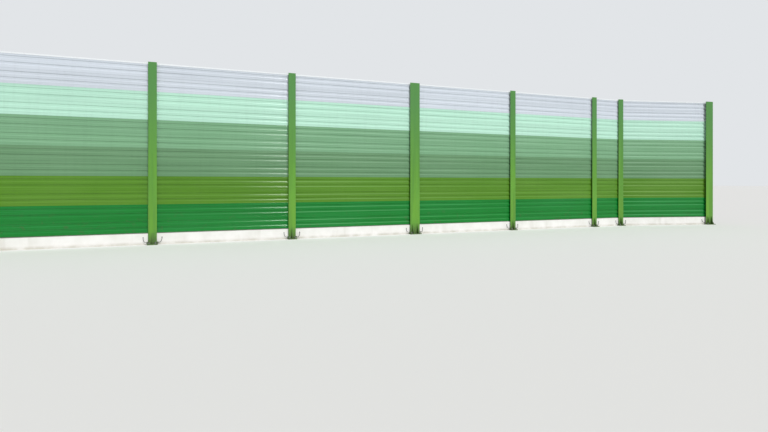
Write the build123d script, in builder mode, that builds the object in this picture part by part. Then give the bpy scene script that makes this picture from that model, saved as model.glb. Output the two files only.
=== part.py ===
"""Railway noise barrier: aluminium cassettes slotted between green steel H-posts, on concrete beams.

Millimetres. +X runs along the barrier, to the right as seen from the track. The track side faces -Y and +Z
is up.
The origin is the centre of the underside of the first post's base plate, at ground level.
"""

import os
from math import asin, cos, degrees, radians, sin, tan

from build123d import *

# Layout: bays from left to right, the last one angled towards the track by the offset of the run beyond it
bay_lengths = [5000.0, 4940.0, 5260.0, 5000.0, 4860.0, 1750.0, 5050.0]
line_offset = 1150.0
angled_bay = 7
wide_posts = (4, 8)

# Rolled steel post, and the wider post welded from plates
post_rise = 40.0
post_width = 280.0
wide_post_width = 440.0
post_depth = 280.0
web_thickness = 10.5
flange_thickness = 18.0
root_radius = 24.0

# Post foot: base plate, anchor holes and stiffening gussets
plate_thickness = 30.0
plate_side_margin = 30.0
plate_front_margin = 140.0
anchor_hole_radius = 16.5
anchor_edge_distance = 70.0
gusset_height = 380.0
gusset_depth = 125.0
gusset_toe = 25.0
gusset_thickness = 15.0
wide_gusset_spacing = 220.0

# Earthing lug on each side of the front flange
lug_reach = 50.0
lug_height = 60.0
lug_bottom = 45.0
lug_thickness = 8.0

# Plinth beam of precast concrete
plinth_top = 390.0
plinth_thickness = 160.0
plinth_chamfer = 10.0
notch_clearance = 5.0

# Rubber strips: under the lowest cassette, and before and behind the cassettes inside each flange
base_strip_height = 30.0
base_strip_setback = 25.0
rear_strip_thickness = 42.0
edge_strip_width = 50.0
strip_clearance = 1.0

# Sound-absorbing cassette
cassette_height = 500.0
cassette_rows = 12
cassette_thickness = 140.0
end_clearance = 15.0
groove_depth = 18.0
groove_flank = 25.0
low_groove_centre = 160.0
low_groove_floor = 55.0
high_groove_centre = 355.0
high_groove_floor = 65.0
bead_depth = 8.0
bead_width = 40.0
bead_heights = (145.0, 355.0)
tongue_width = 60.0
tongue_height = 14.0
tongue_clearance = 2.0

# Folded capping profile
cap_sheet = 3.0
cap_clearance = 1.0
cap_leg = 44.0
cap_lip = 5.0

# Earthing jumper, from an eye on the plinth down to the lug on the post. Its route has two free points, each
# given as shares of the way along, towards the track and down. The cable and its eyes are small and repeat
# fourteen times, so they have few sides.
jumper_radius = 8.0
jumper_gap = 0.5
jumper_sides = 6
jumper_bend = 0.45
jumper_flat = 65.0
jumper_lift = 3.0
jumper_shape = ((0.03, 0.0, 0.38), (0.33, 0.5, 0.76))
eye_radius = 20.0
eye_thickness = 8.0
eye_sides = 8
plinth_eye_offset = 165.0
plinth_eye_drop = 140.0

# Places that follow from the sizes above
web_face = web_thickness / 2
front_face = -post_depth / 2
front_flange_face = front_face + flange_thickness
rear_flange_face = post_depth / 2 - flange_thickness
cassette_rear = rear_flange_face - rear_strip_thickness
cassette_front = cassette_rear - cassette_thickness
plinth_front = cassette_rear - plinth_thickness
cassette_base = plinth_top + base_strip_height
cassette_top = cassette_base + cassette_rows * cassette_height
post_height = cassette_top + post_rise
band_colours = ("emerald", "olive", "grey_green", "sage", "mint", "white")
grooves = ((low_groove_centre, low_groove_floor), (high_groove_centre, high_groove_floor))

# Headings in plan, in degrees: of each bay, and of each post, which halves the bend between its two bays
bay_headings = [0.0] * len(bay_lengths)
bay_headings[angled_bay - 1] = -degrees(asin(line_offset / bay_lengths[angled_bay - 1]))
run_headings = [0.0] + bay_headings + [0.0]
post_headings = [(before + after) / 2 for before, after in zip(run_headings, run_headings[1:])]
post_places = [Vector(0, 0, 0)]
for length, heading in zip(bay_lengths, bay_headings):
    post_places.append(post_places[-1] + Vector(length, 0, 0).rotate(Axis.Z, heading))


def turned_plane(place, heading):
    """Level plane at a place, with its own x along the heading and its own y away from the track."""
    return Plane(origin=place, x_dir=Vector(1, 0, 0).rotate(Axis.Z, heading), z_dir=(0, 0, 1))


def post_plane(number):
    """Ground plane of a post, counted from 1 at the left end."""
    return turned_plane(post_places[number - 1], post_headings[number - 1])


def bay_plane(index):
    """Ground plane of a bay, centred on the post at its left."""
    return turned_plane(post_places[index], bay_headings[index])


def across(frame, x, z=0.0):
    """Upright plane square to the frame's x, whose own x runs along the frame's y and whose own y runs up."""
    return Plane(origin=frame.from_local_coords(Vector(x, 0, z)), x_dir=frame.y_dir, z_dir=frame.x_dir)


def width_of_post(number):
    return wide_post_width if number in wide_posts else post_width


def sides_with_bay(number):
    """Sides of a post that have a bay: -1 to its left, +1 to its right."""
    sides = []
    if number > 1:
        sides.append(-1)
    if number < len(post_places):
        sides.append(1)
    return sides


def bay_beside(number, side):
    """Index of the bay on one side of a post."""
    return number - 1 if side > 0 else number - 2


def lean(number, index):
    """Angle in plan between a bay and the post it is slotted into, in radians."""
    return radians(bay_headings[index] - post_headings[number - 1])


def clear_of(distance, number, index):
    """How far along a bay everything in it lies beyond a distance measured square to the post's web."""
    angle = abs(lean(number, index))
    return (distance + max(cassette_rear, -plinth_front) * sin(angle)) / cos(angle)


def bay_span(index):
    """Left end and length of what is slotted into a bay, along the bay."""
    left = clear_of(web_face + end_clearance, index + 1, index)
    right = clear_of(web_face + end_clearance, index + 2, index)
    return left, bay_lengths[index] - left - right


def write(name, builder):
    builder.part.label = name
    export_step(builder.part, f"parts/{name}.step")


# Posts
def make_post(number):
    width = width_of_post(number)
    ground = post_plane(number)
    plate_x = width + 2 * plate_side_margin
    plate_y = post_depth + 2 * plate_front_margin
    with BuildPart() as post:
        with BuildSketch(ground):
            Rectangle(plate_x, plate_y)
            with GridLocations(plate_x - 2 * anchor_edge_distance, plate_y - 2 * anchor_edge_distance, 2, 2):
                Circle(anchor_hole_radius, mode=Mode.SUBTRACT)
        extrude(amount=plate_thickness)

        with BuildSketch(ground.offset(plate_thickness)) as section:
            Rectangle(width, post_depth)
            channel = (width - web_thickness) / 2
            with GridLocations(channel + web_thickness, 0, 2, 1):
                Rectangle(channel, post_depth - 2 * flange_thickness, mode=Mode.SUBTRACT)
            fillet(section.vertices().filter_by_position(Axis.X, -web_thickness, web_thickness), root_radius)
        extrude(amount=post_height - plate_thickness)

        gusset_xs = [0.0]
        if number in wide_posts:
            gusset_xs = [-wide_gusset_spacing / 2, wide_gusset_spacing / 2]
        for gusset_x in gusset_xs:
            with BuildSketch(across(ground, gusset_x, plate_thickness)):
                with BuildLine():
                    Polyline(
                        (front_face, 0),
                        (front_face, gusset_height),
                        (front_face - gusset_toe, gusset_height),
                        (front_face - gusset_depth, gusset_toe),
                        (front_face - gusset_depth, 0),
                        close=True,
                    )
                make_face()
                mirror(about=Plane.YZ)
            extrude(amount=gusset_thickness / 2, both=True)

        for side in sides_with_bay(number):
            with BuildSketch(ground.offset(lug_bottom)):
                with Locations((side * (width + lug_reach) / 2, front_face + lug_thickness / 2)):
                    Rectangle(lug_reach, lug_thickness)
            extrude(amount=lug_height)
    return post


# Plinth beams, notched over the base plates they rest on
def make_plinth(index):
    frame = bay_plane(index)
    start, length = bay_span(index)
    middle_y = (plinth_front + cassette_rear) / 2
    notch_ends = []
    for number in (index + 1, index + 2):
        plate_edge = width_of_post(number) / 2 + plate_side_margin
        notch_ends.append(clear_of(plate_edge + notch_clearance, number, index))
    notches = ((start, notch_ends[0]), (bay_lengths[index] - notch_ends[1], start + length))
    with BuildPart() as plinth:
        with BuildSketch(across(frame, start)):
            with Locations((middle_y, plinth_top / 2)):
                Rectangle(plinth_thickness, plinth_top)
        extrude(amount=length)
        top_edges = plinth.faces().sort_by(Axis.Z)[-1].edges()
        chamfer(top_edges.sort_by(SortBy.LENGTH)[-2:], plinth_chamfer)
        for low, high in notches:
            with BuildSketch(frame):
                with Locations(((low + high) / 2, middle_y)):
                    Rectangle(high - low, plinth_thickness)
            extrude(amount=plate_thickness, mode=Mode.SUBTRACT)
    return plinth


# Cassettes: two grooves in the front leave three unequal ribs, with beads in the rear, a tongue on top and
# its slot below
def cassette_outline():
    valley = cassette_front + groove_depth
    front = [(cassette_front, 0)]
    for centre, floor in grooves:
        front += [
            (cassette_front, centre - floor / 2 - groove_flank),
            (valley, centre - floor / 2),
            (valley, centre + floor / 2),
            (cassette_front, centre + floor / 2 + groove_flank),
        ]
    front += [(cassette_front, cassette_height)]
    middle = (cassette_front + cassette_rear) / 2
    tongue = tongue_width / 2
    top = [
        (middle - tongue, cassette_height),
        (middle - tongue, cassette_height + tongue_height),
        (middle + tongue, cassette_height + tongue_height),
        (middle + tongue, cassette_height),
        (cassette_rear, cassette_height),
    ]
    rear = []
    for height in reversed(bead_heights):
        rear += [
            (cassette_rear, height + bead_width / 2),
            (cassette_rear - bead_depth, height + bead_width / 2 - bead_depth),
            (cassette_rear - bead_depth, height - bead_width / 2 + bead_depth),
            (cassette_rear, height - bead_width / 2),
        ]
    slot = tongue + tongue_clearance
    bottom = [
        (cassette_rear, 0),
        (middle + slot, 0),
        (middle + slot, tongue_height + tongue_clearance),
        (middle - slot, tongue_height + tongue_clearance),
        (middle - slot, 0),
    ]
    return front + top + rear + bottom


def make_cassette_row(row):
    with BuildPart() as cassettes:
        for index in range(len(bay_lengths)):
            start, length = bay_span(index)
            with BuildSketch(across(bay_plane(index), start, cassette_base + row * cassette_height)):
                with BuildLine():
                    Polyline(*cassette_outline(), close=True)
                make_face()
            extrude(amount=length)
    return cassettes


# Capping profile, folded down over the top cassette and resting on its tongue
def make_cap(index):
    start, length = bay_span(index)
    inner_front = cassette_front - cap_clearance
    inner_rear = cassette_rear + cap_clearance
    foot = tongue_height - cap_leg
    with BuildPart() as cap:
        with BuildSketch(across(bay_plane(index), start, cassette_top)):
            with BuildLine():
                Polyline(
                    (inner_front - cap_lip, foot - cap_lip),
                    (inner_front, foot),
                    (inner_front, tongue_height),
                    (inner_rear, tongue_height),
                    (inner_rear, foot),
                    (inner_rear + cap_lip, foot - cap_lip),
                )
                offset(amount=cap_sheet, side=Side.LEFT, kind=Kind.INTERSECTION)
            make_face()
        extrude(amount=length)
    return cap


# Rubber strips
def make_base_strips():
    strip_front = cassette_front + base_strip_setback
    with BuildPart() as strips:
        for index in range(len(bay_lengths)):
            start, length = bay_span(index)
            with BuildSketch(across(bay_plane(index), start, plinth_top)):
                with Locations(((strip_front + cassette_rear) / 2, base_strip_height / 2)):
                    Rectangle(cassette_rear - strip_front, base_strip_height)
            extrude(amount=length)
    return strips


def make_edge_strips(flange_y, cassette_y, bottom):
    """Upright strips beside each web, from the inner face of one flange to that side of the cassettes."""
    inner = web_face + root_radius + strip_clearance
    lip_foot = cassette_top + tongue_height - cap_leg - cap_lip - cap_sheet
    with BuildPart() as strips:
        for number in range(1, len(post_places) + 1):
            for side in sides_with_bay(number):
                angle = lean(number, bay_beside(number, side))
                inner_x, outer_x = side * inner, side * (inner + edge_strip_width)
                with BuildSketch(post_plane(number).offset(bottom)):
                    with BuildLine():
                        Polyline(
                            (inner_x, flange_y),
                            (outer_x, flange_y),
                            (outer_x, cassette_y / cos(angle) + outer_x * tan(angle)),
                            (inner_x, cassette_y / cos(angle) + inner_x * tan(angle)),
                            close=True,
                        )
                    make_face()
                extrude(amount=lip_foot - strip_clearance - bottom)
    return strips


# Earthing jumpers
def jumper_route(number, side):
    """Points from the eye on the plinth, down and round to the eye on the lug."""
    index = bay_beside(number, side)
    bay = bay_plane(index)
    post = post_plane(number)
    eye_reach = width_of_post(number) / 2 + plinth_eye_offset
    along = eye_reach if side > 0 else bay_lengths[index] - eye_reach
    plinth_eye = Vector(along, plinth_front - jumper_radius - jumper_gap, plinth_top - plinth_eye_drop)
    lug_x = side * (width_of_post(number) / 2 + lug_reach - eye_radius)
    lug_eye = Vector(lug_x, front_face - jumper_radius - jumper_gap, lug_bottom + lug_height / 2)
    beside_lug = lug_eye + Vector(side * jumper_flat, 0, jumper_lift)
    start = bay.from_local_coords(plinth_eye)
    last_bend = post.from_local_coords(beside_lug)
    way = bay.to_local_coords(last_bend) - plinth_eye
    points = [start]
    for shares in jumper_shape:
        step = Vector(way.X * shares[0], way.Y * shares[1], way.Z * shares[2])
        points.append(bay.from_local_coords(plinth_eye + step))
    return points + [last_bend, post.from_local_coords(lug_eye)]


def bend_radii(points):
    """Radius at each inner point, as large as the two runs beside it allow."""
    radii = []
    for before, corner, after in zip(points, points[1:], points[2:]):
        arriving = corner - before
        leaving = after - corner
        half_turn = radians(arriving.get_angle(leaving)) / 2
        radii.append(jumper_bend * min(arriving.length, leaving.length) / tan(half_turn))
    return radii


def make_jumpers():
    with BuildPart() as jumpers:
        for number in range(1, len(post_places) + 1):
            for side in sides_with_bay(number):
                points = jumper_route(number, side)
                radii = bend_radii(points)
                print(f"earthing jumper at post {number}, bend radii in mm:", [round(r) for r in radii])
                with BuildLine() as route:
                    FilletPolyline(*points, radius=radii)
                with BuildSketch(Plane(origin=route.line @ 0, z_dir=route.line % 0)):
                    RegularPolygon(jumper_radius, jumper_sides)
                sweep(path=route.line)
                bay = bay_plane(bay_beside(number, side))
                for eye, carrier in ((points[0], bay), (points[-1], post_plane(number))):
                    outward = carrier.y_dir * -1
                    seat = eye - outward * (jumper_radius + jumper_gap)
                    with BuildSketch(Plane(origin=seat, z_dir=outward)):
                        RegularPolygon(eye_radius, eye_sides)
                    extrude(amount=eye_thickness)
    return jumpers


os.makedirs("parts", exist_ok=True)

for number in range(1, len(post_places) + 1):
    write(f"post_{number}", make_post(number))

for index in range(len(bay_lengths)):
    write(f"plinth_beam_{index + 1}", make_plinth(index))
    write(f"top_cap_{index + 1}", make_cap(index))

for row in range(cassette_rows):
    colour = band_colours[row * len(band_colours) // cassette_rows]
    write(f"cassettes_row_{row + 1:02d}_{colour}", make_cassette_row(row))

write("base_strips", make_base_strips())
write("rear_strips", make_edge_strips(rear_flange_face, cassette_rear, plate_thickness))
write("front_strips", make_edge_strips(front_flange_face, cassette_front, cassette_base))
write("earthing_jumpers", make_jumpers())
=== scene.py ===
"""Looks of the railway noise barrier section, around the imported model. Metres, +Z up, front towards -Y."""

import math

import bmesh
import bpy
from mathutils import Color, Matrix, Vector


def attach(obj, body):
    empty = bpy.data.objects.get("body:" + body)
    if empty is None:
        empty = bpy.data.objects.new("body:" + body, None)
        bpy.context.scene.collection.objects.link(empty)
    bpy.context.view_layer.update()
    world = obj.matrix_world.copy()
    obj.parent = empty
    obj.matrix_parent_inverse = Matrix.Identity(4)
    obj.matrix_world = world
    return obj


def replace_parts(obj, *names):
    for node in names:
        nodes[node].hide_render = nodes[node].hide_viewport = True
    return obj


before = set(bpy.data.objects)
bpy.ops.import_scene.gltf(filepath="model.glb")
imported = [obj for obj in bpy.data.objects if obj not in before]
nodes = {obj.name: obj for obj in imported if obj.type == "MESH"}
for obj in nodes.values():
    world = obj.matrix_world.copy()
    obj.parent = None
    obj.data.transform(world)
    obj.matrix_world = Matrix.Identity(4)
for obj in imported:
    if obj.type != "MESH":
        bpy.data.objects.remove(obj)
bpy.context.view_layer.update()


# Camera: it stands 19.5 m in front of the barrier and 2.2 m above the ground, level, and looks to the right.
# The lens has a 23 mm equivalent view, and the small shift keeps the horizon above the middle of the frame.
camera_place = (6.26, -19.49, 2.18)
camera_turn = 21.23
sensor_width = 36.0
frame_width = 768
focal_pixels = 497.5
horizon_rise = 33


def add_object(name, data):
    """Puts a new object with that data into the scene, at the origin."""
    added = bpy.data.objects.new(name, data)
    bpy.context.scene.collection.objects.link(added)
    return added


camera_data = bpy.data.cameras.new("camera")
camera_data.sensor_width = sensor_width
camera_data.lens = sensor_width * focal_pixels / frame_width
camera_data.shift_y = -horizon_rise / frame_width
camera = add_object("camera", camera_data)
camera.location = camera_place
camera.rotation_euler = (math.radians(90), 0, math.radians(-camera_turn))
bpy.context.scene.camera = camera


# Posts: rolled steel H-sections on welded base plates, galvanised and sprayed yellowish green. The paint is
# brighter low down and darker towards the top, rain has left faint upright streaks, and grime and rust start
# at the foot.
post_green = (101, 159, 60)
post_dull_green = (84, 141, 76)
post_bright_green = (110, 168, 58)
post_shade_green = (80, 132, 54)
post_grime = (80, 88, 66)
post_rust = (112, 74, 46)
post_sheen = 0.3
brightest_height = 0.8
brightening_end = 3.2
darkening_start = 2.6
darkening_end = 5.6
grimiest_height = 0.05
grime_height = 0.50
rustiest_height = 0.02
rust_height = 0.30
arris_radius = 0.0016
arris_segments = 2
shortest_arris = 0.012
least_arris_angle = math.radians(40)
merge_distance = 0.00001
flat_angle = 0.01


def linear(colour):
    """A colour of 0 to 255 as the eye sees it, as the shader's linear colour."""
    seen_parts = Color([part / 255 for part in colour])
    return [*seen_parts.from_srgb_to_scene_linear(), 1.0]


def add_node(tree, kind, *values, **settings):
    """Adds a shader node and fills its inputs, in order, with numbers or links; None leaves one alone."""
    node = tree.nodes.new("ShaderNode" + kind)
    for name, value in settings.items():
        setattr(node, name, value)
    for socket, value in zip(node.inputs, values):
        if isinstance(value, bpy.types.NodeSocket):
            tree.links.new(value, socket)
        elif value is not None:
            socket.default_value = value
    return node


def new_material(name, even_values):
    """A material with the shader's even values set, its shader, and where each point of the object lies."""
    material = bpy.data.materials.new(name)
    material.use_nodes = True
    shader = material.node_tree.nodes["Principled BSDF"]
    for socket, value in even_values.items():
        shader.inputs[socket].default_value = value
    return material, shader, add_node(material.node_tree, "TexCoord").outputs["Object"]


def component(vector, axis):
    return add_node(vector.id_data, "SeparateXYZ", vector).outputs[axis]


def noise(place, scale, stretch=(1, 1, 1), detail=3.0):
    """Cloudy noise of that scale per metre, stretched along an axis where its factor is under 1."""
    tree = place.id_data
    stretched = add_node(tree, "Mapping", place, None, None, stretch).outputs[0]
    return add_node(tree, "TexNoise", stretched, None, scale, detail).outputs[0]


def fade(value, start, end, low=0.0, high=1.0):
    """Goes from low where the value is at start to high where it is at end, and stays level beyond both."""
    return add_node(value.id_data, "MapRange", value, start, end, low, high).outputs[0]


def calculate(operation, first, second=None):
    """Result of a Math node on one or two values, of which the first is a link."""
    return add_node(first.id_data, "Math", first, second, operation=operation).outputs[0]


def times(first, second):
    return calculate("MULTIPLY", first, second)


def layered(base, *layers):
    """The base colour with tints laid on it in turn, each given as an amount and a colour."""
    colour = linear(base)
    for amount, tint in layers:
        mix = add_node(amount.id_data, "Mix", amount, data_type="RGBA")
        under, over = mix.inputs[6:8]
        over.default_value = linear(tint)
        if isinstance(colour, bpy.types.NodeSocket):
            amount.id_data.links.new(colour, under)
        else:
            under.default_value = colour
        colour = mix.outputs[2]
    return colour


def finish_surface(shader, colour, roughness, relief, depth):
    """Links the colour, the roughness and a relief as deep as depth, in metres."""
    tree = shader.id_data
    bump = add_node(tree, "Bump")
    bump.inputs["Distance"].default_value = depth
    tree.links.new(relief, bump.inputs["Height"])
    tree.links.new(bump.outputs["Normal"], shader.inputs["Normal"])
    tree.links.new(colour, shader.inputs["Base Color"])
    tree.links.new(roughness, shader.inputs["Roughness"])


def make_post_paint():
    material, shader, place = new_material("post_green_paint", {"Specular IOR Level": post_sheen})
    height = component(place, "Z")
    clouds = noise(place, scale=1.1)
    wide_streaks = noise(place, scale=5.0, stretch=(1, 1, 0.05), detail=2.0)
    streaks = noise(place, scale=24.0, stretch=(1, 1, 0.03), detail=4.0)
    specks = noise(place, scale=60.0, detail=5.0)
    orange_peel = noise(place, scale=240.0, detail=2.0)
    low_down = fade(height, brightening_end, brightest_height)
    near_foot = fade(height, grime_height, grimiest_height)
    nearest_foot = fade(height, rust_height, rustiest_height, high=0.8)
    colour = layered(
        post_green,
        (times(low_down, fade(clouds, 0.3, 0.6, low=0.5)), post_bright_green),
        (fade(wide_streaks, 0.46, 0.62, high=0.45), post_shade_green),
        (fade(height, darkening_start, darkening_end, high=0.9), post_dull_green),
        (fade(streaks, 0.5, 0.72, high=0.3), post_dull_green),
        (times(near_foot, fade(specks, 0.25, 0.65, low=0.35, high=0.95)), post_grime),
        (times(nearest_foot, fade(specks, 0.6, 0.68)), post_rust),
    )
    roughness = fade(clouds, 0.3, 0.7, low=0.42, high=0.58)
    finish_surface(shader, colour, roughness, orange_peel, depth=0.0006)
    return material


def copy_rounded(node_name, radius, segments, is_rounded):
    """A copy of a CAD node with a small round on the edges that is_rounded picks."""
    mesh = bmesh.new()
    mesh.from_mesh(nodes[node_name].data)
    bmesh.ops.remove_doubles(mesh, verts=mesh.verts, dist=merge_distance)
    bmesh.ops.dissolve_limit(mesh, angle_limit=flat_angle, verts=mesh.verts, edges=mesh.edges)
    edges = [edge for edge in mesh.edges if is_rounded(edge)]
    rounded = bmesh.ops.bevel(
        mesh, geom=edges, offset=radius, segments=segments, profile=0.5, affect="EDGES", material=-1
    )
    for face in rounded["faces"]:
        face.smooth = True
    return mesh


def add_piece(name, mesh, material):
    """Makes the finished mesh a piece that rides with the barrier."""
    data = bpy.data.meshes.new(name)
    mesh.normal_update()
    mesh.to_mesh(data)
    mesh.free()
    data.materials.append(material)
    piece = add_object(name, data)
    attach(piece, "root")
    return piece


def is_outer_arris(edge):
    """True on the outward edges of flanges, gussets and plates, but not round the bolt holes."""
    if len(edge.link_faces) != 2 or edge.calc_length() < shortest_arris:
        return False
    return edge.calc_face_angle_signed() > least_arris_angle


post_paint = make_post_paint()
for post_name in sorted(name for name in nodes if name.startswith("post_")):
    painted = copy_rounded(post_name, arris_radius, arris_segments, is_outer_arris)
    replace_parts(add_piece("painted_" + post_name, painted, post_paint), post_name)


# Weld beads: fillet welds between each section, its gussets and its base plate, run by hand and painted over
# with the post. The posts stand as in the model, in one line up to the last bay, which turns forwards.
bay_lengths = (5.0, 4.94, 5.26, 5.0, 4.86, 1.75, 5.05)
line_offset = 1.15
angled_bay = 7
wide_posts = (4, 8)
post_half_width = 0.14
wide_post_half_width = 0.22
post_front = -0.14
post_rear = 0.14
web_half = 0.00525
root_radius = 0.024
flange_thickness = 0.018
plate_top = 0.030
gusset_top = 0.410
gusset_reach = 0.265
gusset_half = 0.0075
wide_gusset_x = 0.11
bead_radius = 0.006
bead_sides = 8
hexagon_sides = 6
rim_segments = 2
rim_tolerance = 0.000001


def level_frame(place, heading):
    """Frame at a place on the ground, with its own x along the heading."""
    return Matrix.Translation(place) @ Matrix.Rotation(heading, 4, "Z")


bay_headings = [0.0] * len(bay_lengths)
bay_headings[angled_bay - 1] = -math.asin(line_offset / bay_lengths[angled_bay - 1])
bay_frames = []
post_places = [Vector((0, 0, 0))]
for length, heading in zip(bay_lengths, bay_headings):
    bay_frames.append(level_frame(post_places[-1], heading))
    post_places.append(bay_frames[-1] @ Vector((length, 0, 0)))

run_headings = [0.0] + bay_headings + [0.0]
post_frames = []
half_widths = []
for number, post_place in enumerate(post_places, 1):
    post_frames.append(level_frame(post_place, (run_headings[number - 1] + run_headings[number]) / 2))
    half_widths.append(wide_post_half_width if number in wide_posts else post_half_width)


def add_rod(mesh, start, end, radius, sides, rim=0.0, turn=0.0):
    """Adds a closed bar or prism between two points, smooth if round, its far rim rounded where asked."""
    axis = end - start
    upright = axis.to_track_quat("Z", "Y").to_matrix().to_4x4()
    made = bmesh.ops.create_cone(
        mesh,
        cap_ends=True,
        segments=sides,
        radius1=radius,
        radius2=radius,
        depth=axis.length,
        matrix=Matrix.Translation((start + end) / 2) @ upright @ Matrix.Rotation(turn, 4, "Z"),
    )["verts"]
    if sides > hexagon_sides:
        for face in {face for vert in made for face in vert.link_faces}:
            face.smooth = len(face.verts) == 4
    if rim:
        direction = axis.normalized()
        far_verts = {vert for vert in made if abs((vert.co - end).dot(direction)) < rim_tolerance}
        far_edges = {
            edge for vert in far_verts for edge in vert.link_edges if far_verts.issuperset(edge.verts)
        }
        bmesh.ops.bevel(
            mesh,
            geom=list(far_edges),
            offset=rim,
            segments=rim_segments,
            profile=0.5,
            affect="EDGES",
            material=-1,
        )


inner_front = post_front + flange_thickness
inner_rear = post_rear - flange_thickness
web_end = inner_rear - root_radius
welds = bmesh.new()
for number, (post_frame, half_width) in enumerate(zip(post_frames, half_widths), 1):
    gusset_places = (-wide_gusset_x, wide_gusset_x) if number in wide_posts else (0.0,)
    plate_runs = [((-half_width, y), (half_width, y)) for y in (post_front, post_rear)]
    upright_places = []
    for side in (-1, 1):
        web_x = side * web_half
        root_x = side * (web_half + root_radius)
        tip_x = side * half_width
        plate_runs += [
            ((web_x, -web_end), (web_x, web_end)),
            ((root_x, inner_front), (tip_x, inner_front)),
            ((root_x, inner_rear), (tip_x, inner_rear)),
            ((tip_x, post_front), (tip_x, inner_front)),
            ((tip_x, inner_rear), (tip_x, post_rear)),
        ]
        for gusset_x in gusset_places:
            x = gusset_x + side * gusset_half
            plate_runs += [((x, -gusset_reach), (x, post_front)), ((x, gusset_reach), (x, post_rear))]
            upright_places += [(x, post_front), (x, post_rear)]
    runs = [((*start, plate_top), (*end, plate_top)) for start, end in plate_runs]
    runs += [((*foot, plate_top), (*foot, gusset_top)) for foot in upright_places]
    for start, end in runs:
        add_rod(welds, post_frame @ Vector(start), post_frame @ Vector(end), bead_radius, bead_sides)


def cells(place, scale, output="Distance"):
    """Cells of that scale per metre: the distance from each one's middle, or with Color a colour for each."""
    return add_node(place.id_data, "TexVoronoi", place, None, scale).outputs[output]


def make_weld_paint():
    material, shader, place = new_material("weld_bead_paint", {"Specular IOR Level": post_sheen})
    ripples = cells(place, scale=260.0)
    specks = noise(place, scale=60.0, detail=5.0)
    colour = layered(
        post_dull_green,
        (fade(specks, 0.4, 0.6, low=0.2, high=0.8), post_grime),
        (fade(specks, 0.58, 0.66, high=0.8), post_rust),
    )
    roughness = fade(specks, 0.3, 0.7, low=0.5, high=0.75)
    finish_surface(shader, colour, roughness, ripples, depth=0.002)
    return material


add_piece("post_weld_beads", welds, make_weld_paint())


# Anchor bolts: galvanised M30 rods cast into the foundation, each with a washer and a nut pulled down on the
# base plate, and a lock nut over it. Every plate has four, in line with its holes, and each nut has stopped
# at an angle of its own.
galvanised_grey = (158, 162, 160)
galvanised_dark = (112, 117, 116)
bolt_rust = (124, 82, 50)
metal_share = 0.75
rod_radius = 0.015
rod_sides = 20
rod_rim = 0.002
rod_foot = 0.001
rod_top = 0.105
rod_pitch = 0.0035
washer_radius = 0.028
washer_height = 0.004
washer_sides = 28
nut_radius = 0.0266
nut_height = 0.024
lock_nut_height = 0.015
nut_rim = 0.0015
nut_turns = (0.33, 0.374, 0.638)
turn_by_place = 7.0
hole_edge_distance = 0.070
plate_side_margin = 0.030
plate_front_margin = 0.140


def make_galvanised(name, thread_pitch=None):
    """Hot-dip zinc with its spangle and specks of rust, over a thread of that pitch where one is given."""
    material, shader, place = new_material(name, {"Metallic": metal_share})
    spangle = cells(place, scale=180.0, output="Color")
    patches = noise(place, scale=35.0, detail=4.0)
    colour = layered(
        galvanised_dark,
        (fade(spangle, 0.2, 0.8), galvanised_grey),
        (fade(patches, 0.55, 0.66, high=0.75), bolt_rust),
    )
    roughness = fade(patches, 0.3, 0.7, low=0.4, high=0.75)
    if thread_pitch:
        turns = calculate("DIVIDE", component(place, "Z"), thread_pitch)
        finish_surface(shader, colour, roughness, calculate("PINGPONG", turns, 0.5), depth=thread_pitch)
    else:
        finish_surface(shader, colour, roughness, patches, depth=0.0005)
    return material


def add_stack(mesh, seat, outward, layers, rim, turns=(0.0, 0.0, 0.0)):
    """Adds washers, nuts or heads, one on the other, each given by its radius, height and number of sides."""
    for (radius, height, sides), turn in zip(layers, turns):
        top = seat + outward * height
        add_rod(mesh, seat, top, radius, sides, rim, turn)
        seat = top


anchor_layers = (
    (washer_radius, washer_height, washer_sides),
    (nut_radius, nut_height, hexagon_sides),
    (nut_radius, lock_nut_height, hexagon_sides),
)
bolt_y = post_rear + plate_front_margin - hole_edge_distance
rods = bmesh.new()
nuts = bmesh.new()
for post_frame, half_width in zip(post_frames, half_widths):
    bolt_x = half_width + plate_side_margin - hole_edge_distance
    for x in (-bolt_x, bolt_x):
        turns = [turn_by_place * x + turn for turn in nut_turns]
        for y in (-bolt_y, bolt_y):
            foot, seat, top = (post_frame @ Vector((x, y, z)) for z in (rod_foot, plate_top, rod_top))
            add_rod(rods, foot, top, rod_radius, rod_sides, rod_rim)
            add_stack(nuts, seat, Vector((0, 0, 1)), anchor_layers, nut_rim, turns)

galvanised = make_galvanised("galvanised_fasteners")
add_piece("anchor_rods", rods, make_galvanised("anchor_rod_thread", rod_pitch))
add_piece("anchor_nuts", nuts, galvanised)


# Plinth beams: precast concrete, cast smooth against steel forms, lowered between the posts and notched over
# their base plates. The sun has bleached them almost white, splashes have greyed the foot, and rain has run
# down from the joint above.
concrete_pale = (250, 248, 246)
concrete_grey = (239, 237, 233)
concrete_stain = (188, 184, 168)
concrete_sheen = 0.3
splash_height = 0.12


def make_concrete():
    material, shader, place = new_material("plinth_concrete", {"Specular IOR Level": concrete_sheen})
    clouds = noise(place, scale=2.2, detail=5.0)
    fine = noise(place, scale=90.0, detail=4.0)
    runs = noise(place, scale=2.6, stretch=(1, 1, 0.12), detail=6.0)
    pores = cells(place, scale=70.0)
    near_foot = fade(component(place, "Z"), splash_height, 0.0)
    colour = layered(
        concrete_pale,
        (fade(clouds, 0.35, 0.7), concrete_grey),
        (times(near_foot, fade(clouds, 0.3, 0.6, low=0.2, high=0.8)), concrete_stain),
        (fade(runs, 0.56, 0.75, high=0.3), concrete_stain),
    )
    roughness = fade(fine, 0.3, 0.7, low=0.8, high=0.95)
    finish_surface(shader, colour, roughness, times(fade(pores, 0.0, 0.13), fine), depth=0.0015)
    return material


def dress(names, material):
    """Gives the material to CAD nodes."""
    for name in names:
        slots = nodes[name].data.materials
        slots.clear()
        slots.append(material)


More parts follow.
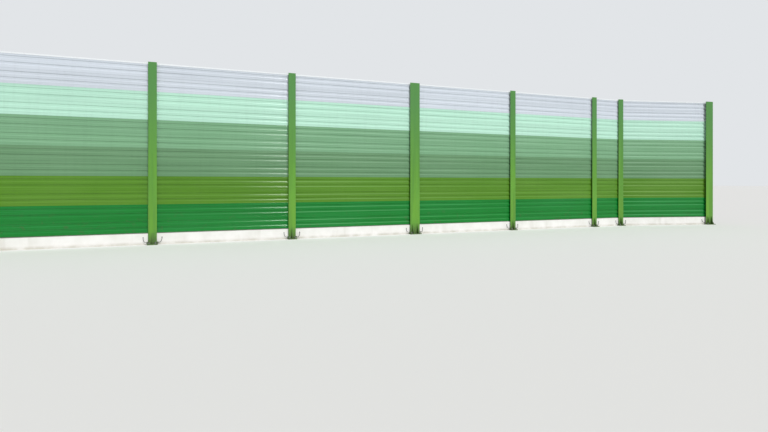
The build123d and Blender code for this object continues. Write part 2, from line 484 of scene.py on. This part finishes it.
dress([name for name in nodes if name.startswith("plinth_beam")], make_concrete())


# Rubber strips: black profiles that bed the lowest cassette on the plinth and hold the rows between the
# flanges. Weather has greyed them, and cement dust lies on the bed strips.
rubber_black = (30, 33, 31)
rubber_dust = (74, 78, 70)
cement_dust = (172, 174, 164)


def make_rubber(name, dust_colour=rubber_dust, least_dust=0.0, most_dust=0.5):
    material, shader, place = new_material(name, {})
    dust = noise(place, scale=6.0, detail=5.0)
    grain = noise(place, scale=220.0, detail=2.0)
    colour = layered(rubber_black, (fade(dust, 0.45, 0.75, least_dust, most_dust), dust_colour))
    finish_surface(shader, colour, fade(dust, 0.3, 0.7, low=0.65, high=0.9), grain, depth=0.0006)
    return material


dress(["rear_strips", "front_strips"], make_rubber("strip_rubber"))
dress(["base_strips"], make_rubber("dusty_strip_rubber", cement_dust, least_dust=0.75, most_dust=1.0))


# Cassettes: roll-formed, powder-coated aluminium trays with two unequal grooves, slid down between the posts.
# Each pair of rows has one colour, from emerald at the foot to white at the top, and each tray differs a
# little from the next. The first bays are the glossiest. Upward faces are lighter, partly with dust and
# partly with a painted highlight, most of all in the angled bay.
band_colours = {
    "white": (214, 222, 232),
    "mint": (190, 236, 214),
    "sage": (125, 175, 134),
    "grey_green": (105, 150, 108),
    "olive": (85, 138, 28),
    "emerald": (0, 127, 40),
}
mud_colour = (70, 84, 52)
shade_share = 0.78
light_share = 0.22
coat_sheen = 0.35
cassette_height = 0.5
cassette_base = 0.42
fold_radius = 0.004
fold_segments = 3
shortest_fold = 1.0
glossy_bays = 2
glossy_roughness = 0.17
satin_roughness = 0.42
# How much upward faces are lightened, partly as dust and partly as painted highlight, in most bays and in the
# angled bay
usual_dust_and_highlight = 0.16
angled_bay_dust_and_highlight = 0.7
# Painted shade along the seams between rows
seam_width = 0.006
painted_seam_shade = 0.35
mud_height = 1.3


def is_fold(edge):
    """True on the long folds that run along a bay."""
    return edge.calc_length() > shortest_fold


def make_band_paint(band, band_colour):
    material, shader, place = new_material("band_" + band + "_coat", {"Specular IOR Level": coat_sheen})
    tree = material.node_tree
    shade = [part * shade_share for part in band_colour]
    light = [part + (255 - part) * light_share for part in band_colour]

    # The bay and the row in which each point lies, and a number of its own for each tray
    x = component(place, "X")
    height = component(place, "Z")
    bay = 0.0
    for post_frame in post_frames:
        bay = calculate("ADD", calculate("GREATER_THAN", x, post_frame.translation.x), bay)
    row = calculate("DIVIDE", calculate("SUBTRACT", height, cassette_base), cassette_height)
    tray = add_node(tree, "CombineXYZ", bay, calculate("FLOOR", row)).outputs[0]
    lot = add_node(tree, "TexWhiteNoise", tray, noise_dimensions="3D").outputs["Value"]

    # Thin painted highlight and painted shade lines along the tray, rain streaks, dust on upward faces
    # that also paints a highlight there, painted shade at the seams, and mud low down
    clouds = noise(place, scale=0.8, stretch=(0.35, 1, 1), detail=4.0)
    streaks = noise(place, scale=9.0, stretch=(1, 1, 0.08), detail=5.0)
    # Thin horizontal lines of painted highlight and painted shade, not marks of the rolls
    painted_light_and_shade_lines = noise(place, scale=22.0, stretch=(0.012, 0.012, 1))
    splashes = noise(place, scale=5.0, detail=8.0)
    upward = component(add_node(tree, "NewGeometry").outputs["Normal"], "Z")
    most_dust = fade(bay, angled_bay - 1, angled_bay, usual_dust_and_highlight, angled_bay_dust_and_highlight)
    # Upward faces are lightened: partly dust, partly a painted highlight
    dust = times(fade(upward, 0.15, 0.6), most_dust)
    near_seam = calculate("PINGPONG", calculate("FRACT", row), 0.5)
    seam_share = seam_width / cassette_height
    low_down = fade(height, mud_height, cassette_base)
    colour = layered(
        band_colour,
        (fade(lot, 0.0, 1.0, high=0.15), shade),
        # Thin lines of painted shade and painted highlight along the tray
        (fade(painted_light_and_shade_lines, 0.5, 0.68, high=0.30), shade),
        (fade(painted_light_and_shade_lines, 0.46, 0.3, high=0.22), light),
        (fade(clouds, 0.4, 0.75, high=0.18), light),
        (fade(streaks, 0.5, 0.75, high=0.10), shade),
        # Lighter upward faces: dust and painted highlight
        (times(dust, fade(streaks, 0.3, 0.6, low=0.5)), light),
        # Painted shade at the seams between rows
        (fade(near_seam, seam_share, 0.5 * seam_share, high=painted_seam_shade), shade),
        (times(low_down, fade(splashes, 0.6, 0.72, high=0.55)), mud_colour),
    )
    roughness = fade(bay, glossy_bays, glossy_bays + 1, glossy_roughness, satin_roughness)
    waves = noise(place, scale=1.6, stretch=(0.6, 1, 2.0), detail=1.0)
    finish_surface(shader, colour, roughness, waves, depth=0.0007)
    return material


for band, band_colour in band_colours.items():
    band_paint = make_band_paint(band, band_colour)
    rows = sorted(name for name in nodes if name.startswith("cassettes_row") and name.endswith("_" + band))
    for row_name, level in zip(rows, ("lower", "upper")):
        trays = copy_rounded(row_name, fold_radius, fold_segments, is_fold)
        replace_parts(add_piece(band + "_trays_" + level, trays, band_paint), row_name)


# Capping profiles: aluminium sheet folded over the top row and powder coated white, the brightest line of the
# barrier, riveted through both folded legs. Rain has left thin grey runs on them.
cap_white = (240, 244, 247)
cap_grey = (214, 218, 220)
cap_fold_radius = 0.0025
cap_front = -0.064
cap_rear = 0.084
rivet_radius = 0.007
rivet_sides = 12
rivet_rim = 0.0015
rivet_height = 0.003
rivet_spacing = 0.6
rivet_end_distance = 0.16
rivet_level = 6.408


def make_cap_coat():
    material, shader, place = new_material("cap_white_coat", {"Specular IOR Level": coat_sheen})
    runs = noise(place, scale=14.0, stretch=(1, 1, 0.1), detail=5.0)
    clouds = noise(place, scale=1.5)
    colour = layered(cap_white, (fade(runs, 0.55, 0.78, high=0.4), cap_grey))
    finish_surface(shader, colour, fade(clouds, 0.3, 0.7, low=0.35, high=0.5), clouds, depth=0.002)
    return material


cap_coat = make_cap_coat()
rivets = bmesh.new()
for number, (bay_frame, length) in enumerate(zip(bay_frames, bay_lengths), 1):
    cap_name = f"top_cap_{number}"
    cap = copy_rounded(cap_name, cap_fold_radius, fold_segments, is_fold)
    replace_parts(add_piece(f"folded_cap_{number}", cap, cap_coat), cap_name)
    span = length - 2 * rivet_end_distance
    spaces = math.ceil(span / rivet_spacing)
    for step in range(spaces + 1):
        x = rivet_end_distance + span * step / spaces
        for y, head_y in ((cap_front, cap_front - rivet_height), (cap_rear, cap_rear + rivet_height)):
            start = bay_frame @ Vector((x, y, rivet_level))
            end = bay_frame @ Vector((x, head_y, rivet_level))
            add_rod(rivets, start, end, rivet_radius, rivet_sides, rivet_rim)
add_piece("cap_rivets", rivets, cap_coat)


# Earthing jumpers: stranded cable in a black sheath, crimped at each end into a flat lug, one bolted to the
# plinth's earthing socket and one to the post. They are short and stiff, and held at both ends.
cable_radius = 0.008
cable_gap = 0.0005
cable_flat = 0.065
cable_lift = 0.003
cable_shape = ((0.03, 0.0, 0.38), (0.33, 0.5, 0.76))
cable_round_steps = 4
cable_length_steps = 10
cable_order = 3
plinth_front = -0.08
plinth_eye_offset = 0.165
plinth_eye_height = 0.25
lug_eye_x = 0.03
lug_eye_height = 0.075
barrel_radius = 0.0105
barrel_start = 0.014
barrel_end = 0.046
barrel_sides = 16
barrel_rim = 0.001
palm_radius = 0.019
palm_thickness = 0.005
palm_sides = 24
small_washer_radius = 0.0135
small_washer_height = 0.0020
small_washer_sides = 20
bolt_head_radius = 0.0110
bolt_head_height = 0.0075
palm_rim = 0.0008

lug_layers = (
    (palm_radius, palm_thickness, palm_sides),
    (small_washer_radius, small_washer_height, small_washer_sides),
    (bolt_head_radius, bolt_head_height, hexagon_sides),
)
cables = bpy.data.curves.new("earthing_cables", "CURVE")
cables.dimensions = "3D"
cables.bevel_depth = cable_radius
cables.bevel_resolution = cable_round_steps
cables.resolution_u = cable_length_steps
cables.use_fill_caps = True
cable_lugs = bmesh.new()
for index, (post_frame, half_width) in enumerate(zip(post_frames, half_widths)):
    for side, bay_index in ((-1, index - 1), (1, index)):
        if not 0 <= bay_index < len(bay_frames):
            continue
        bay_frame = bay_frames[bay_index]
        reach = half_width + plinth_eye_offset
        plinth_eye_x = reach if side > 0 else bay_lengths[bay_index] - reach
        plinth_eye = Vector((plinth_eye_x, plinth_front - cable_radius - cable_gap, plinth_eye_height))
        lug_x = side * (half_width + lug_eye_x)
        lug_eye = Vector((lug_x, post_front - cable_radius - cable_gap, lug_eye_height))
        last_bend = post_frame @ (lug_eye + Vector((side * cable_flat, 0, cable_lift)))
        way = bay_frame.inverted() @ last_bend - plinth_eye
        route = [bay_frame @ plinth_eye]
        route += [bay_frame @ (plinth_eye + way * Vector(shares)) for shares in cable_shape]
        route += [last_bend, post_frame @ lug_eye]
        spline = cables.splines.new("NURBS")
        spline.points.add(len(route) - 1)
        for point, spot in zip(spline.points, route):
            point.co = (*spot, 1.0)
        spline.order_u = cable_order
        spline.use_endpoint_u = True
        for eye, next_point, carrier in ((route[0], route[1], bay_frame), (route[-1], route[-2], post_frame)):
            outward = (carrier.to_3x3() @ Vector((0, -1, 0))).normalized()
            along = (next_point - eye).normalized()
            barrel = (eye + along * barrel_start, eye + along * barrel_end)
            add_rod(cable_lugs, *barrel, barrel_radius, barrel_sides, barrel_rim)
            add_stack(cable_lugs, eye - outward * (cable_radius + cable_gap), outward, lug_layers, palm_rim)

cables.materials.append(make_rubber("jumper_sheath_rubber"))
cable_piece = add_object("earthing_cables", cables)
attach(cable_piece, "root")
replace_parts(cable_piece, "earthing_jumpers")
add_piece("earthing_lugs", cable_lugs, galvanised)


# Stage: a pale floor at ground level, one soft lamp like a sun from the front right, and an even fill from
# the world, in whose place the camera and every glossy or clear surface see a pale backdrop.
floor_colour = (242, 242, 240)
fill_colour = (255, 255, 255)
backdrop_colour = (226, 229, 232)
floor_reach = 400.0
floor_roughness = 0.9
sun_strength = 2.3
sun_softness = 3.0
sun_height = 48.0
sun_side = 16.0
fill_strength = 0.3

floor_mesh = bmesh.new()
bmesh.ops.create_grid(floor_mesh, x_segments=1, y_segments=1, size=floor_reach)
floor_data = bpy.data.meshes.new("floor")
floor_mesh.to_mesh(floor_data)
floor_mesh.free()
floor_finish = {"Base Color": linear(floor_colour), "Roughness": floor_roughness}
floor_data.materials.append(new_material("floor_pale", floor_finish)[0])
add_object("floor", floor_data)

sun_data = bpy.data.lights.new("soft_sun", "SUN")
sun_data.energy = sun_strength
sun_data.angle = math.radians(sun_softness)
sun = add_object("soft_sun", sun_data)
sun.rotation_euler = (math.radians(90 - sun_height), 0, math.radians(sun_side))

world = bpy.data.worlds.new("studio")
world.use_nodes = True
world_links = world.node_tree.links
background = world.node_tree.nodes["Background"]
rays = add_node(world.node_tree, "LightPath").outputs
seen = calculate("MAXIMUM", rays["Is Camera Ray"], rays["Is Glossy Ray"])
seen = calculate("MAXIMUM", seen, rays["Is Transmission Ray"])
world_links.new(fade(seen, 0.0, 1.0, low=fill_strength), background.inputs["Strength"])
world_links.new(layered(fill_colour, (seen, backdrop_colour)), background.inputs["Color"])
bpy.context.scene.world = world
bpy.context.scene.view_settings.view_transform = "Standard"
